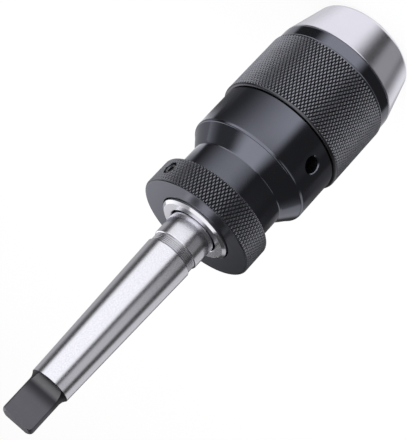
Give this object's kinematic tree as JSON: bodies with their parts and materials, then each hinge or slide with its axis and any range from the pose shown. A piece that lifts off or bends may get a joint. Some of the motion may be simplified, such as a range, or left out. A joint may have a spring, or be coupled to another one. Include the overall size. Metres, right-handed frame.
{
  "type": "keyless drill chuck",
  "caption": "Keyless drill chuck with knurled turning sleeve, rear grip collar, sliding jaws and Morse taper shank with tang.",
  "frame": {"origin": "centre of the nose's front face, on which the chuck stands", "axes": "+Z along the chuck's axis from the nose to the tang; -Y faces the viewer of the picture"},
  "size_m": [0.05, 0.05, 0.1872],
  "materials": {
    "ground_shank": "ground and polished",
    "hub_steel": "fine turned",
    "gloss_black_steel": "polished and blackened",
    "knurled_black_steel": "diamond knurled and blackened",
    "screw_steel": "blackened",
    "race_steel": "polished",
    "bright_nose_steel": "satin turned",
    "hardened_steel": "ground",
    "jaw_steel": "ground",
    "cage_brass": "machined"
  },
  "bodies": {
    "root": {"shank_arbor": "ground_shank", "screw_hub": "hub_steel", "rear_body": "gloss_black_steel", "grip_collar": "knurled_black_steel", "collar_set_screw": "screw_steel", "lower_race": "race_steel"},
    "turning_sleeve": {"sleeve": "knurled_black_steel", "nose": "bright_nose_steel", "jaw_guide": "hardened_steel", "upper_race": "race_steel"},
    "feed_screw": {"drive_screw": "hardened_steel"},
    "jaw_a": {"jaw_1": "jaw_steel"},
    "jaw_b": {"jaw_2": "jaw_steel"},
    "jaw_c": {"jaw_3": "jaw_steel"},
    "bearing": {"ball_cage": "cage_brass", "ball_01": "race_steel", "ball_02": "race_steel", "ball_03": "race_steel", "ball_04": "race_steel", "ball_05": "race_steel", "ball_06": "race_steel", "ball_07": "race_steel", "ball_08": "race_steel", "ball_09": "race_steel", "ball_10": "race_steel", "ball_11": "race_steel", "ball_12": "race_steel"}
  },
  "joints": [
    {"name": "sleeve_turn", "type": "hinge", "parent": "root", "child": "turning_sleeve", "pos_m": [0, 0, 0.033], "axis": [0, 0, 1], "range_deg": [0, 1169.6]},
    {"name": "screw_travel", "type": "slide", "parent": "turning_sleeve", "child": "feed_screw", "axis": [0, 0, -1], "range_m": [0, 0.0195]},
    {"name": "jaw_a_slide", "type": "slide", "parent": "turning_sleeve", "child": "jaw_a", "axis": [-0.2924, 0, -0.9563], "range_m": [0, 0.0204]},
    {"name": "jaw_b_slide", "type": "slide", "parent": "turning_sleeve", "child": "jaw_b", "axis": [0.1462, -0.2532, -0.9563], "range_m": [0, 0.0204]},
    {"name": "jaw_c_slide", "type": "slide", "parent": "turning_sleeve", "child": "jaw_c", "axis": [0.1462, 0.2532, -0.9563], "range_m": [0, 0.0204]},
    {"name": "cage_turn", "type": "hinge", "parent": "root", "child": "bearing", "pos_m": [0, 0, 0.04], "axis": [0, 0, 1], "range_deg": [0, 585]}
  ],
  "couplings": [
    {"joint": "screw_travel", "follows": "sleeve_turn", "m_per_rad": 0.00095493},
    {"joint": "jaw_a_slide", "follows": "sleeve_turn", "m_per_rad": 0.00099856},
    {"joint": "jaw_b_slide", "follows": "sleeve_turn", "m_per_rad": 0.00099856},
    {"joint": "jaw_c_slide", "follows": "sleeve_turn", "m_per_rad": 0.00099856},
    {"joint": "cage_turn", "follows": "sleeve_turn", "ratio": 0.5}
  ]
}
